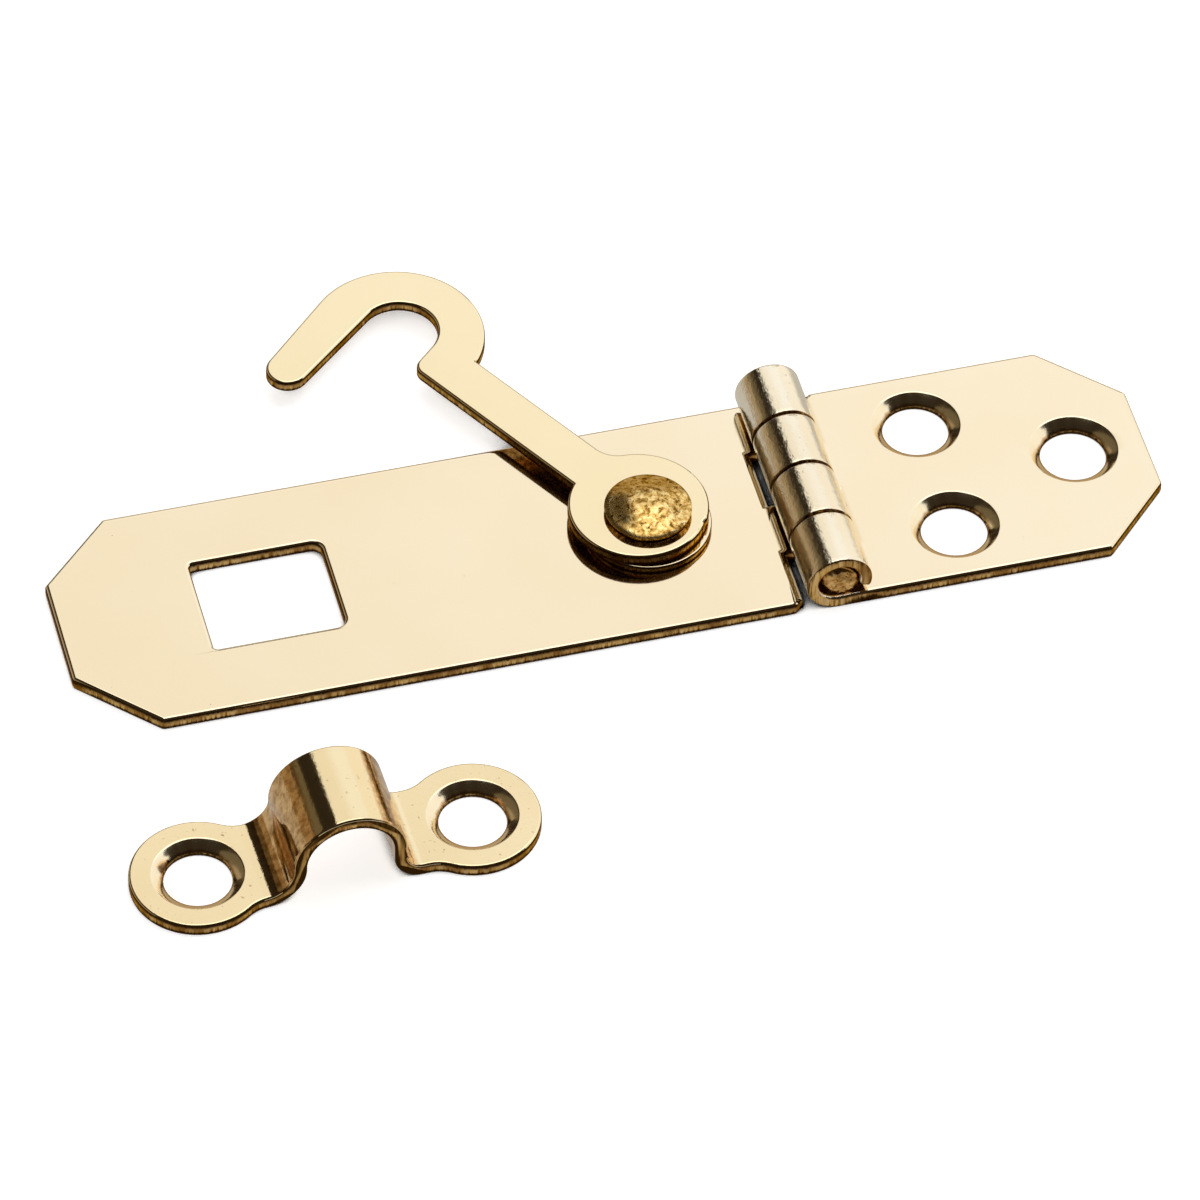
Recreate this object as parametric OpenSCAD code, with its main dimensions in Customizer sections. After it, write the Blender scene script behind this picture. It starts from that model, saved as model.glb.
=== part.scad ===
// Hook hasp in sheet brass: a slotted strap hinged to a screw-on leaf, a swinging
// hook on a rivet that locks into the staple, and the loose staple beside it.
// Millimetres. X runs along the hasp towards the leaf's free end, Z is up off the
// mounting face, and the origin lies on that face, midway between the two screw
// holes next to the hinge.

/* [Plates] */
// Width of the strap and of the leaf
width = 19; // [16:0.5:24]
// Thickness of the sheet that the strap and the leaf are cut from
plate_t = 0.95; // [0.7:0.05:1.1]
// From the hinge axis to the strap's free end
strap_l = 52.2; // [48:0.1:64]
// From the hinge axis to the leaf's free end
leaf_l = 24.5; // [22:0.1:34]
// Length cut off each outer corner, measured along both edges
corner_cut = 5.1; // [1:0.1:6]
// Radius of a plate's corner where it lies beside the other plate's end knuckle
corner_r = 0.6; // [0.2:0.1:1.2]

/* [Hinge] */
// Outer radius of the rolled barrel
barrel_r = 2.3; // [2.1:0.05:2.8]
// Number of knuckles, shared in turn by the strap and the leaf from the back edge
knuckles = 4; // [2:1:6]
// Gap between neighbouring knuckles
knuckle_gap = 0.15; // [0.1:0.05:0.3]
// Angle below the axis at which each rolled knuckle stops above its own plate
curl_stop = 17; // [5:1:25]
// Gap between the barrel and the plate edge that faces it
notch_gap = 0.35; // [0.3:0.05:0.6]
// Gap all round between the hinge pin and the knuckles
pin_play = 0.08; // [0.05:0.01:0.1]
// How far each end of the pin lies inside the barrel
pin_recess = 0.35; // [0.1:0.05:1]

/* [Staple slot] */
// Length of the slot along the strap
slot_l = 9.2; // [9:0.1:10.5]
// Width of the slot across the strap
slot_w = 7.9; // [7.2:0.1:10]
// From the strap's free end to the slot
slot_inset = 9.9; // [7:0.1:12]
// Corner radius of the slot's hinge side
slot_r_hinge = 0.9; // [0.3:0.1:1.5]
// Corner radius of the slot's free side
slot_r_free = 0.3; // [0.2:0.1:1.5]

/* [Screw holes] */
// Radius of the straight part of a screw hole
screw_r = 2.3; // [1.6:0.1:2.5]
// Radius of a screw hole's countersink at the upper face
sink_r = 3.1; // [2.8:0.1:3.4]
// Depth of the straight part below the countersink
land = 0.3; // [0.2:0.05:0.4]
// From the hinge axis to the pair of holes next to it
pair_x = 9.5; // [7:0.1:11]
// Distance between the two holes of that pair
pair_pitch = 9.7; // [8.5:0.1:11]
// From the leaf's free end to the single hole
single_inset = 5.05; // [4:0.05:6]

/* [Hook] */
// From the hinge axis to the rivet that the hook turns on
pivot_x = 11; // [10:0.1:14]
// Thickness of the hook
hook_t = 0.85; // [0.6:0.05:1]
// Outer radius of the hook's eye
eye_r = 4.85; // [4:0.05:5.5]
// How far the eye's outline is off the rivet, towards the arm
eye_shift = 0.9; // [0:0.1:1.2]
// Width of the arm
arm_w = 3.55; // [3:0.05:4.2]
// From the rivet to the middle of the bight, along the arm
reach = 24.15; // [22:0.05:28]
// Radius of the bight, which the staple's leg goes into
bight_r = 2.7; // [2.5:0.05:3.2]
// Radius of the round outside of the bight
bow_r = 6.2; // [5.8:0.05:7]
// How far the bow's centre lies to the mouth's side of the bight's
bow_shift = 0.4; // [0:0.1:0.6]
// How far the bow's centre lies nearer to the rivet than the bight's
bow_back = 0.1; // [0:0.05:0.5]
// Radius of the hook's tip
tip_r = 1.5; // [1.2:0.05:1.8]
// From the bight's middle out to the middle of the tip, along the arm
tip_out = 2.9; // [2.4:0.1:3.4]
// From the bight's middle to the middle of the tip, across the arm
tip_drop = 8; // [7:0.1:9]
// Radius of the shoulder where the arm ends at the mouth
shoulder_r = 1; // [0.5:0.05:1]
// From the bight back to the middle of the shoulder's rounding, along the arm
shoulder_in = 1.25; // [1.1:0.05:1.6]
// Fillet radius between the arm and the eye
eye_fillet = 2; // [0.5:0.1:3]
// Angle of the stored hook from the +X direction
hook_turn = 121; // [100:1:160]

/* [Rivet and spacer] */
// Radius of the rivet's shank
shank_r = 1.5; // [1.2:0.05:2]
// Gap all round between the shank and the hook's hole
shank_play = 0.06; // [0.03:0.01:0.1]
// Gap above and below the hook
hook_play = 0.05; // [0.03:0.01:0.1]
// Radius of the rivet's head
rivet_head_r = 2.93; // [2.5:0.01:3.5]
// Height of the head's side
rivet_side_h = 0.75; // [0.4:0.05:0.9]
// How much the head's side narrows towards the top
rivet_taper = 0.12; // [0:0.01:0.3]
// Height of the dome above the head's side
rivet_dome_h = 0.5; // [0.2:0.05:0.6]
// Radius of the tail that is spread into the strap's underside
tail_r = 2.1; // [1.9:0.05:2.6]
// Radius of the spacer under the hook
spacer_r = 4.4; // [3.5:0.05:5]
// Thickness of the spacer
spacer_t = 0.55; // [0.4:0.05:0.8]

/* [Staple] */
// Distance between the staple's two screw holes
staple_pitch = 18.9; // [18:0.1:24]
// Radius of the staple's round feet
foot_r = 4.6; // [4.2:0.05:5.4]
// Thickness of the staple's strip
staple_t = 0.9; // [0.7:0.05:1]
// Width of the strip in the arch
strip_w = 6.4; // [5.6:0.1:7]
// Inner radius of the arch
arch_r = 2.9; // [2.6:0.05:3.2]
// Clear height under the arch
arch_h = 6; // [5.6:0.1:8]
// Radius of the hollow between a foot and the arch's leg
bend_r = 1.4; // [1:0.1:1.5]
// Fillet radius between the strip and a round foot
neck_fillet = 2.5; // [1:0.1:4]
// From the hinge axis back to the middle of the loose staple
staple_back = 38.4; // [38.4:0.1:42]
// From the strap's middle line to the middle of the loose staple
staple_aside = 22.8; // [22.8:0.1:32]
// Turn of the loose staple
staple_turn = 2; // [0:0.5:10]

/* [Hidden] */
$fn = 96;

// Overshoot of a cut past the face that it opens
over = 0.5;
// Small enough to bridge two faces that only touch
sliver = 0.02;
// How far one edge reaches into the round that it runs out of, so that they cross cleanly
bite = 0.005;

hinge_x = -pair_x;
barrel_bore = barrel_r - plate_t;
pin_r = barrel_bore - pin_play;
notch_x = barrel_r + notch_gap;
knuckle_w = width / knuckles;

spacer_z = plate_t;
hook_z = spacer_z + spacer_t + hook_play;
head_z = hook_z + hook_t + hook_play;

brass = [0.86, 0.72, 0.42];
old_brass = [0.62, 0.48, 0.24];

// A punched and countersunk screw hole through a plate of thickness t
module screw_hole(t) {
    slope = (sink_r - screw_r) / (t - land);
    translate([0, 0, -over]) cylinder(h = t + 2 * over, r = screw_r);
    translate([0, 0, land]) cylinder(h = t - land + over, r1 = screw_r, r2 = sink_r + over * slope);
}

// A rectangle that starts at the origin, with its own radius on the two corners at each end
module slot_outline(l, w, r_near, r_far) {
    translate([r_near, -w / 2]) square([l - r_near - r_far, w]);
    for (side = [-1, 1]) {
        translate([r_near, side * (w / 2 - r_near)]) circle(r_near);
        translate([l - r_far, side * (w / 2 - r_far)]) circle(r_far);
    }
    translate([0, -w / 2 + r_near]) square([r_near + sliver, w - 2 * r_near]);
    translate([l - r_far - sliver, -w / 2 + r_far]) square([r_far + sliver, w - 2 * r_far]);
}

// What a corner's rounding takes off, with the corner at the origin and the plate towards +X +Y
module corner_waste() {
    difference() {
        translate([-over, -over]) square(corner_r + over);
        translate([corner_r, corner_r]) circle(corner_r);
    }
}

// The flat plate from the knuckles to its free end, with both outer corners cut off
module plate_outline(l, round_back, round_front) {
    difference() {
        polygon([
            [notch_x, -width / 2], [l - corner_cut, -width / 2], [l, -width / 2 + corner_cut],
            [l, width / 2 - corner_cut], [l - corner_cut, width / 2], [notch_x, width / 2]
        ]);
        if (round_back) translate([notch_x, width / 2]) rotate(-90) corner_waste();
        if (round_front) translate([notch_x, -width / 2]) corner_waste();
    }
}

// Section of one knuckle and the plate that it is rolled from: Y is up, the plate goes to +X
module knuckle_section() {
    reach_out = 2 * barrel_r;
    translate([0, barrel_r]) difference() {
        circle(barrel_r);
        circle(barrel_bore);
        polygon([
            [0, 0], [reach_out * cos(curl_stop), -reach_out * sin(curl_stop)],
            [reach_out, -reach_out], [0, -reach_out]
        ]);
    }
    square([notch_x + sliver, plate_t]);
}

// One hinge plate lying towards +X from the hinge axis. It owns every second
// knuckle, counted from the back edge, starting with the one numbered first.
module hinge_plate(l, first) {
    linear_extrude(plate_t) plate_outline(l, first == 1, (knuckles - 1 - first) % 2 == 1);
    for (k = [first : 2 : knuckles - 1]) {
        back = width / 2 - k * knuckle_w - (k == 0 ? 0 : knuckle_gap / 2);
        front = width / 2 - (k + 1) * knuckle_w + (k == knuckles - 1 ? 0 : knuckle_gap / 2);
        translate([0, back, 0]) rotate([90, 0, 0]) linear_extrude(back - front) knuckle_section();
    }
}

// The hollow corner between a straight strip along X and a round disc at x = disc_x,
// on the strip's +Y side
module disc_fillet(disc_x, disc_r, half_w, r) {
    run = sqrt(pow(disc_r + r, 2) - pow(half_w + r, 2));
    touch = disc_r / (disc_r + r);
    difference() {
        polygon([
            [disc_x, 0], [disc_x + run, 0], [disc_x + run, half_w + r],
            [disc_x + run * touch, (half_w + r) * touch]
        ]);
        translate([disc_x + run, half_w + r]) circle(r + bite);
    }
}

module strap() {
    color(brass) translate([hinge_x, 0, 0]) difference() {
        mirror([1, 0, 0]) hinge_plate(strap_l, 0);
        translate([-strap_l + slot_inset, 0, -over])
            linear_extrude(plate_t + 2 * over) slot_outline(slot_l, slot_w, slot_r_free, slot_r_hinge);
        translate([-pivot_x, 0, 0]) rivet_hole();
    }
}

// The hole in the strap, opened out below for the rivet's spread tail
module rivet_hole() {
    slope = (tail_r - shank_r) / tail_depth;
    translate([0, 0, -over]) cylinder(h = plate_t + 2 * over, r = shank_r + sliver);
    translate([0, 0, -over])
        cylinder(h = tail_depth + over, r1 = tail_r + sliver + over * slope, r2 = shank_r + sliver);
}
tail_depth = plate_t / 2;

module leaf() {
    color(brass) translate([hinge_x, 0, 0]) difference() {
        hinge_plate(leaf_l, 1);
        for (side = [-1, 1]) translate([pair_x, side * pair_pitch / 2, 0]) screw_hole(plate_t);
        translate([leaf_l - single_inset, 0, 0]) screw_hole(plate_t);
    }
}

module hinge_pin() {
    pin_l = width - 2 * pin_recess;
    color(old_brass) translate([hinge_x, pin_l / 2, barrel_r]) rotate([90, 0, 0])
        cylinder(h = pin_l, r = pin_r);
}

module spacer() {
    color(brass) translate([hinge_x - pivot_x, 0, spacer_z]) difference() {
        cylinder(h = spacer_t, r = spacer_r);
        translate([0, 0, -over]) cylinder(h = spacer_t + 2 * over, r = shank_r + shank_play);
    }
}

module rivet() {
    top_r = rivet_head_r - rivet_taper;
    dome_r = (pow(top_r, 2) + pow(rivet_dome_h, 2)) / (2 * rivet_dome_h);
    color(old_brass) translate([hinge_x - pivot_x, 0, 0]) {
        cylinder(h = tail_depth, r1 = tail_r, r2 = shank_r);
        cylinder(h = head_z + sliver, r = shank_r);
        translate([0, 0, head_z]) cylinder(h = rivet_side_h, r1 = rivet_head_r, r2 = top_r);
        translate([0, 0, head_z + rivet_side_h]) rotate_extrude() intersection() {
            translate([0, rivet_dome_h - dome_r]) circle(dome_r, $fn = 360);
            square([top_r, rivet_dome_h]);
        }
    }
}

// Direction of the normal of a straight edge that is tangent to two circles, where run
// leads from one centre to the other and r_sum is the distance between their edges' sides
function edge_normal(run, r_sum) = atan2(run[1], run[0]) - acos(r_sum / norm(run));
function away(angle) = [cos(angle), sin(angle)];

// The hook lying along +X from the rivet, with its mouth towards +Y
module hook_outline() {
    bight = [reach, 0];
    bow = [reach - bow_back, bow_shift];
    tip = bight + [tip_out, tip_drop];
    shoulder = [reach - bight_r - shoulder_in, arm_w / 2 - shoulder_r];
    // Normals of the leg's inner and outer edge and of the edge from the shoulder to the bight
    inner = away(edge_normal(tip - bight, bight_r + tip_r));
    outer = away(edge_normal(tip - bow, bow_r - tip_r));
    step = bight - shoulder;
    cheek = away(atan2(step[1], step[0]) + acos((bight_r + shoulder_r) / norm(step)));
    mouth_x = bow[0] - bow_r - over;
    mouth_tip = tip - (tip_r - bite) * inner + over * [-inner[1], inner[0]];

    // Eye and arm
    translate([eye_shift, 0]) circle(eye_r);
    mirror([0, 1]) disc_fillet(eye_shift, eye_r, arm_w / 2, eye_fillet);
    translate([0, -arm_w / 2]) square([shoulder[0], arm_w]);
    translate(shoulder) circle(shoulder_r);
    // Bow and leg
    difference() {
        union() {
            translate(bow) circle(bow_r);
            polygon([
                bow, bow + (bow_r - bite) * outer, tip + (tip_r - bite) * outer, tip,
                tip - (tip_r + over) * inner
            ]);
            translate(tip) circle(tip_r);
        }
        translate(bight) circle(bight_r);
        polygon([
            bight, bight + (bight_r - bite) * inner, mouth_tip, [mouth_x, mouth_tip[1]],
            [mouth_x, arm_w / 2], [shoulder[0], arm_w / 2], shoulder + (shoulder_r - bite) * cheek,
            bight - (bight_r - bite) * cheek
        ]);
    }
}

module hook() {
    color(brass) translate([hinge_x - pivot_x, 0, hook_z]) rotate([0, 0, hook_turn])
        linear_extrude(hook_t) difference() {
            hook_outline();
            circle(shank_r + shank_play);
        }
}

// Side view of one half of the bent strip: X outwards, Y up
module strip_section() {
    leg_x = arch_r + staple_t;
    bend = [leg_x + bend_r, staple_t + bend_r];
    arch_y = arch_h - arch_r;
    difference() {
        union() {
            translate([0, arch_y]) intersection() {
                circle(leg_x);
                square(leg_x);
            }
            square([leg_x, arch_y]);
            square(bend);
            square([staple_pitch / 2 + foot_r, staple_t]);
        }
        // The clear inside of the arch
        translate([0, arch_y]) circle(arch_r);
        square([arch_r, arch_y]);
        // The hollow between the leg and the foot, and the rounding under it
        translate(bend) circle(bend_r);
        difference() {
            square(bend);
            translate(bend) circle(bend_r + staple_t);
        }
    }
}

// Plan of one half of the flat blank, before it is bent
module strip_plan() {
    translate([0, -strip_w / 2]) square([staple_pitch / 2, strip_w]);
    translate([staple_pitch / 2, 0]) {
        circle(foot_r);
        mirror([1, 0]) disc_fillet(0, foot_r, strip_w / 2, neck_fillet);
        rotate(180) disc_fillet(0, foot_r, strip_w / 2, neck_fillet);
    }
}

module half_staple() {
    difference() {
        intersection() {
            translate([0, foot_r, 0]) rotate([90, 0, 0]) linear_extrude(2 * foot_r) strip_section();
            linear_extrude(arch_h + 2 * staple_t) strip_plan();
        }
        translate([staple_pitch / 2, 0, 0]) screw_hole(staple_t);
    }
}

module staple() {
    color(brass) translate([hinge_x - staple_back, -staple_aside, 0]) rotate([0, 0, staple_turn]) {
        half_staple();
        mirror([1, 0, 0]) half_staple();
    }
}

strap();
leaf();
hinge_pin();
spacer();
rivet();
hook();
staple();
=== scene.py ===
from math import acos, atan2, ceil, cos, degrees, hypot, pi, radians, sin, sqrt

import bmesh
import bpy
from mathutils import Matrix, Vector


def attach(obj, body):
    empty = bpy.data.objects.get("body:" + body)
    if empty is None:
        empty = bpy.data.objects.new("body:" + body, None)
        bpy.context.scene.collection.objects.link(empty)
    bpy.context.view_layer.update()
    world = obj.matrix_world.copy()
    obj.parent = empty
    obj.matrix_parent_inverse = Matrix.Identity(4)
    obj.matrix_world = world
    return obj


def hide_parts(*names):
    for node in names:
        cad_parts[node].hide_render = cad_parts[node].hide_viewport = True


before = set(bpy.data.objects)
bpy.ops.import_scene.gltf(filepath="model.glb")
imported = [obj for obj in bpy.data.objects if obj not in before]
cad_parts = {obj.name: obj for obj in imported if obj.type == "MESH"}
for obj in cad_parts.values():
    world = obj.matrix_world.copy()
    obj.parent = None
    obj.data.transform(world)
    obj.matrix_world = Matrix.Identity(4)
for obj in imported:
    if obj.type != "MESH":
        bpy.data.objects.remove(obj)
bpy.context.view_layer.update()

MM = 0.001

# Plates and hinge
WIDTH = 19
PLATE_T = 0.95
STRAP_L = 52.2
LEAF_L = 24.5
CORNER_CUT = 5.1
CORNER_R = 0.6
HINGE_X = -9.5
BARREL_R = 2.3
NOTCH = 2.65
KNUCKLE_W = 4.75
KNUCKLE_GAP = 0.15
CURL_TURN = 287
PIN_R = 1.22
PIN_L = 17.6
PIN_SHIFT = (0.27, -0.15)
ROLLED_T = 0.87
TEAR = ((0.65, 0.20, 0.03), (0.35, 0.27, 0.03), (0, 0.29, 0.03))
NOTCH_LIP = 0.3
TAB_MARGIN = 0.45
# Slot and screw holes
SLOT = (-51.8, -42.6, 3.95)
SLOT_R_FREE = 0.3
SLOT_R_HINGE = 0.7
SCREW_R = 2.3
SINK_R = 3.1
LAND = 0.3
LEAF_HOLES = ((0, -4.85), (0, 4.85), (9.95, 0))
# Hook, rivet and spacer
PIVOT = (-20.5, 0)
HOOK_TURN = 121
HOOK_Z = 1.55
HOOK_T = 0.85
EYE = (0.9, 0)
EYE_R = 4.85
EYE_FILLET = 2
ARM_HALF = 1.775
BIGHT = Vector((24.15, 0))
BIGHT_R = 2.7
BOW = Vector((24.05, 0.4))
BOW_R = 6.2
TIP = Vector((27.05, 8))
TIP_R = 1.5
SHOULDER = Vector((20.2, 0.775))
SHOULDER_R = 1
KNOCK = (-17.12, -2.08)
SHANK_R = 1.5
STRAP_HOLE_R = 1.52
TAIL_H = 0.475
HOOK_HOLE_R = 1.56
SPACER_R = 4.4
SPACER_Z = (0.95, 1.5)
HEAD_Z = 2.45
HEAD_R = 3.0
HEAD_SIDE = 0.41
# Staple
STAPLE = (-47.9, -22.8)
STAPLE_TURN = 2
STAPLE_T = 0.9
FOOT_X = 9.45
FOOT_R = 4.6
STRIP_HALF = 3.4
ARCH_R = 3.0
ARCH_X = 0.15
ARCH_Z = 3.0
BEND_R_FAR = 2.05
BEND_R_NEAR = 1.1
NECK_FILLET = 2.5
# Rounding of the upper arrises, which the shearing rolled over, and of the lower ones
ROLL_OVER = 0.31
HOOK_ROLL_OVER = 0.23
STAPLE_ROLL_OVER = 0.2
UPRIGHT_CORNER = 0.12
BURR_SIDE = 0.17
LOWER_ARRIS = 0.08
HOLE_RIM = 0.08
# Sides of the round cuts and steps of the curl
ROUND_SIDES = 96
CURL_STEPS = 72
NOTCH_CUTS = 24
# Below this upward lean of its normal a face belongs to the sheared edge, so the lower part of each
# rolled arris takes its painted shade
EDGE_TILT = 0.62


def alone(piece):
    bpy.ops.object.select_all(action="DESELECT")
    piece.select_set(True)
    bpy.context.view_layer.objects.active = piece


def edit(piece):
    alone(piece)
    bpy.ops.object.mode_set(mode="EDIT")


def leave_edit():
    bpy.ops.object.mode_set(mode="OBJECT")


def start_object(name):
    """Adds one vertex at the origin and leaves it selected in edit mode."""
    bpy.ops.object.select_all(action="DESELECT")
    bpy.ops.mesh.primitive_plane_add(size=MM, location=(0, 0, 0))
    bpy.context.object.name = name
    bpy.context.object.data.name = name
    bpy.ops.object.mode_set(mode="EDIT")
    bpy.ops.mesh.select_mode(type="VERT")
    bpy.ops.mesh.select_all(action="SELECT")
    bpy.ops.mesh.merge(type="CENTER")
    return bpy.context.object


class Pen:
    """Draws an outline from one vertex, with straight extrusions and spun arcs."""

    def __init__(self, name, start, place, axis=(0, 0, 1)):
        self.piece = start_object(name)
        self.place = place
        self.axis = Vector(axis)
        self.at = Vector(place(*start))
        bpy.ops.transform.translate(value=self.at)

    def line(self, u, v):
        goal = Vector(self.place(u, v))
        bpy.ops.mesh.extrude_vertices_move(TRANSFORM_OT_translate={"value": goal - self.at})
        self.at = goal

    def arc(self, centre, turn, step=4):
        """Turns about the centre by so many degrees, counter-clockwise where positive."""
        middle = Vector(self.place(*centre))
        bpy.ops.mesh.spin(steps=max(2, ceil(abs(turn) / step)), angle=-radians(turn),
                          center=middle, axis=self.axis)
        self.at = Matrix.Rotation(radians(turn), 3, self.axis) @ (self.at - middle) + middle

    def fill(self):
        bpy.ops.mesh.select_all(action="SELECT")
        bpy.ops.mesh.remove_doubles(threshold=0.002 * MM)
        bpy.ops.mesh.edge_face_add()
        bpy.ops.mesh.select_mode(type="FACE")
        bpy.ops.mesh.select_all(action="SELECT")


def thicken(x, y, z):
    bpy.ops.mesh.extrude_region_move(TRANSFORM_OT_translate={"value": Vector((x, y, z)) * MM})
    bpy.ops.mesh.select_all(action="SELECT")
    bpy.ops.mesh.normals_make_consistent(inside=False)


def pick_faces(wanted):
    """Selects the faces for which wanted(centre in mm, normal) holds."""
    bpy.ops.mesh.select_mode(type="FACE")
    bpy.ops.mesh.select_all(action="DESELECT")
    mesh = bpy.context.edit_object.data
    shape = bmesh.from_edit_mesh(mesh)
    for face in shape.faces:
        face.select_set(wanted(face.calc_center_bounds() / MM, face.normal))
    bmesh.update_edit_mesh(mesh)


def pick_edges(wanted, sharp=40):
    """Selects the sharp edges for which wanted(middle in mm, normal, other normal) holds."""
    bpy.ops.mesh.select_mode(type="EDGE")
    bpy.ops.mesh.select_all(action="DESELECT")
    mesh = bpy.context.edit_object.data
    shape = bmesh.from_edit_mesh(mesh)
    for edge in shape.edges:
        if len(edge.link_faces) == 2 and edge.calc_face_angle(0) > radians(sharp):
            middle = (edge.verts[0].co + edge.verts[1].co) / 2 / MM
            edge.select_set(wanted(middle, *(f.normal for f in edge.link_faces)))
    bmesh.update_edit_mesh(mesh)


def pick_vertices(wanted):
    """Selects the vertices for which wanted(place in mm) holds."""
    bpy.ops.mesh.select_mode(type="VERT")
    bpy.ops.mesh.select_all(action="DESELECT")
    mesh = bpy.context.edit_object.data
    shape = bmesh.from_edit_mesh(mesh)
    for vertex in shape.verts:
        vertex.select_set(wanted(vertex.co / MM))
    bmesh.update_edit_mesh(mesh)


def round_arrises(width, segments=3):
    bpy.ops.mesh.bevel(offset=width * MM, segments=segments, profile=0.5,
                       affect="EDGES", clamp_overlap=False)


def cut(piece, cutter, how="DIFFERENCE"):
    alone(piece)
    tool = piece.modifiers.new("cut", "BOOLEAN")
    tool.operation = how
    tool.solver = "EXACT"
    tool.object = cutter
    bpy.ops.object.modifier_apply(modifier=tool.name)
    bpy.data.objects.remove(cutter)


def on_floor(x, y):
    return (x * MM, y * MM, 0)


def below_floor(x, y):
    return (x * MM, y * MM, -MM)


def countersink_cutter(x, y, sheet_t):
    """The punch and the countersink of one screw hole, as one turned cutter."""
    widen = (SINK_R - SCREW_R) / (sheet_t - LAND)
    bpy.ops.object.select_all(action="DESELECT")
    bpy.ops.mesh.primitive_cylinder_add(
        vertices=ROUND_SIDES, radius=SCREW_R * MM, depth=(1 + LAND) * MM,
        location=(x * MM, y * MM, (LAND - 1) / 2 * MM))
    cutter = bpy.context.object
    bpy.ops.object.mode_set(mode="EDIT")
    pick_faces(lambda centre, normal: normal.z > 0.9)
    rise = sheet_t - LAND + 1
    bpy.ops.mesh.extrude_region_move(TRANSFORM_OT_translate={"value": (0, 0, rise * MM)})
    grow = (SCREW_R + rise * widen) / SCREW_R
    bpy.ops.transform.resize(value=(grow, grow, 1))
    leave_edit()
    return cutter


def round_cutter(x, y, r, low, high, r_low=None):
    bpy.ops.object.select_all(action="DESELECT")
    bpy.ops.mesh.primitive_cone_add(
        vertices=ROUND_SIDES, radius1=(r_low or r) * MM, radius2=r * MM,
        depth=(high - low) * MM, location=(x * MM, y * MM, (low + high) / 2 * MM))
    return bpy.context.object


def split_plate(xs, ys=()):
    """Cuts the flat faces along straight lines, so that each hole and tab has its own."""
    for axis, places in (((1, 0, 0), xs), ((0, 1, 0), ys)):
        for place in places:
            pick_faces(lambda centre, normal: True)
            bpy.ops.mesh.bisect(plane_co=Vector(axis) * place * MM, plane_no=axis)


def tear_notch(piece, side, stretches):
    """The notches were sheared and tore off at a slope. TEAR holds how far the metal
    reaches into the notch at each height, and how rough it is there. It stays short of the
    other plate's tab, which lies 0.35 mm past the notch when the hinge is turned down."""
    notch_x = HINGE_X + side * NOTCH

    def in_notch(at):
        return abs(at.x - notch_x) < 0.01

    edit(piece)
    pick_edges(lambda middle, one, other: in_notch(middle)
               and min(abs(one.z), abs(other.z)) < 0.5 < max(abs(one.z), abs(other.z))
               and any(low < middle.y < high for low, high in stretches))
    bpy.ops.mesh.subdivide(number_cuts=NOTCH_CUTS)
    for z, _, _ in TEAR[:2]:
        pick_faces(lambda centre, normal: in_notch(centre) and abs(normal.x) > 0.9)
        bpy.ops.mesh.bisect(plane_co=(0, 0, z * MM), plane_no=(0, 0, 1))
    for z, out, rough in TEAR:
        pick_vertices(lambda at: in_notch(at) and abs(at.z - z) < 0.01)
        bpy.ops.transform.translate(value=(-side * out * MM, 0, 0))
        pick_vertices(lambda at: abs(at.x - notch_x + side * out) < 0.005 and abs(at.z - z) < 0.01
                      and any(low + 0.1 < at.y < high - 0.1 for low, high in stretches))
        bpy.ops.transform.vertex_random(offset=rough * MM, seed=5)
        bpy.ops.transform.resize(value=(1, 1, 0), center_override=(0, 0, z * MM))
    leave_edit()


def plate_with_knuckles(name, side, length, knuckles, splits):
    """One hinge plate from its own outline. Side is 1 for the leaf and -1 for the strap;
    knuckles are the (low, high) stretches in Y that it owns, from the front edge back."""
    half = WIDTH / 2

    def x(from_axis):
        return HINGE_X + side * from_axis

    pen = Pen(name, (x(length - CORNER_CUT), -half), on_floor)
    pen.line(x(length), -half + CORNER_CUT)
    pen.line(x(length), half - CORNER_CUT)
    pen.line(x(length - CORNER_CUT), half)
    notches = []
    top = half
    if knuckles[-1][1] < half:
        pen.line(x(NOTCH + CORNER_R), half)
        pen.arc((x(NOTCH + CORNER_R), half - CORNER_R), side * 90, 10)
        top = half - CORNER_R
    else:
        pen.line(x(NOTCH), half)
    for low, high in reversed(knuckles):
        if high < half:
            pen.line(x(NOTCH), high)
            notches.append((high, top))
        pen.line(x(0), high)
        pen.line(x(0), low)
        pen.line(x(NOTCH), low)
        top = low
    if knuckles[0][0] > -half:
        pen.line(x(NOTCH), -half + CORNER_R)
        pen.arc((x(NOTCH + CORNER_R), -half + CORNER_R), side * 90, 10)
        notches.append((-half + CORNER_R, top))
    pen.line(x(length - CORNER_CUT), -half)
    pen.fill()
    thicken(0, 0, PLATE_T)
    roots = [y for low, high in knuckles for y in (low + TAB_MARGIN, high - TAB_MARGIN)]
    split_plate(splits[0] + (x(NOTCH + TAB_MARGIN),), splits[1] + tuple(roots))
    # Each knuckle is rolled from the end of its own tab, where the sheet gets thinner
    for low, high in knuckles:
        pick_vertices(lambda at: abs(at.x - HINGE_X) < 0.01 and at.z > 0.5
                      and low - 0.01 < at.y < high + 0.01)
        bpy.ops.transform.translate(value=(0, 0, (ROLLED_T - PLATE_T) * MM))
        pick_faces(lambda centre, normal: abs(centre.x - HINGE_X) < 0.01
                   and low < centre.y < high and abs(normal.x) > 0.9)
        bpy.ops.mesh.spin(steps=CURL_STEPS, angle=-side * radians(CURL_TURN),
                          center=(HINGE_X * MM, 0, BARREL_R * MM), axis=(0, 1, 0))
    bpy.ops.mesh.select_all(action="SELECT")
    bpy.ops.mesh.remove_doubles(threshold=0.002 * MM)
    bpy.ops.mesh.normals_make_consistent(inside=False)
    leave_edit()
    return pen.piece, notches


def from_hinge(at):
    return hypot(at.x - HINGE_X, at.z - BARREL_R)


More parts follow.
